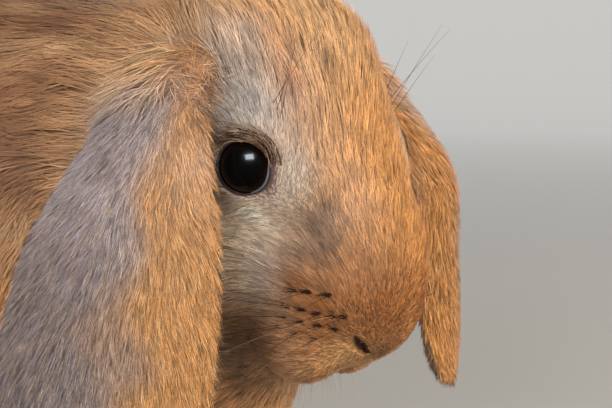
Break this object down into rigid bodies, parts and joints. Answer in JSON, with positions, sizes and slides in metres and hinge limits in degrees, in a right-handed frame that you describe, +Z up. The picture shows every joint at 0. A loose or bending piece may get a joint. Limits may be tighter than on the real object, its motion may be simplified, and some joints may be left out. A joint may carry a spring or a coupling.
{
  "type": "french lop rabbit",
  "caption": "Life-size still model of a french lop rabbit, crouched on all fours with its head lowered and its broad ears hanging, for display.",
  "frame": {"origin": "on the floor, under the middle of the model's box", "axes": "+Z up, nose towards -Y, the rabbit's left side towards +X"},
  "size_m": [0.224, 0.451, 0.2227],
  "materials": {
    "fawn_coat": "short dense matt fur",
    "cream_coat": "short dense matt fur",
    "claw_horn": "satin horn",
    "eye": "wet gloss"
  },
  "bodies": {
    "root": {"head": "fawn_coat", "neck": "fawn_coat", "torso": "fawn_coat", "tail": "cream_coat", "eye_right": "eye", "eye_left": "eye", "ear_right": "fawn_coat", "ear_left": "fawn_coat", "foreleg_right": "fawn_coat", "foreleg_left": "fawn_coat", "haunch_right": "fawn_coat", "haunch_left": "fawn_coat", "hindfoot_right": "fawn_coat", "hindfoot_left": "fawn_coat", "claw_fore_right_1": "claw_horn", "claw_fore_right_2": "claw_horn", "claw_fore_right_3": "claw_horn", "claw_fore_right_4": "claw_horn", "claw_fore_left_1": "claw_horn", "claw_fore_left_2": "claw_horn", "claw_fore_left_3": "claw_horn", "claw_fore_left_4": "claw_horn", "claw_hind_right_1": "claw_horn", "claw_hind_right_2": "claw_horn", "claw_hind_right_3": "claw_horn", "claw_hind_right_4": "claw_horn", "claw_hind_left_1": "claw_horn", "claw_hind_left_2": "claw_horn", "claw_hind_left_3": "claw_horn", "claw_hind_left_4": "claw_horn"}
  },
  "joints": []
}
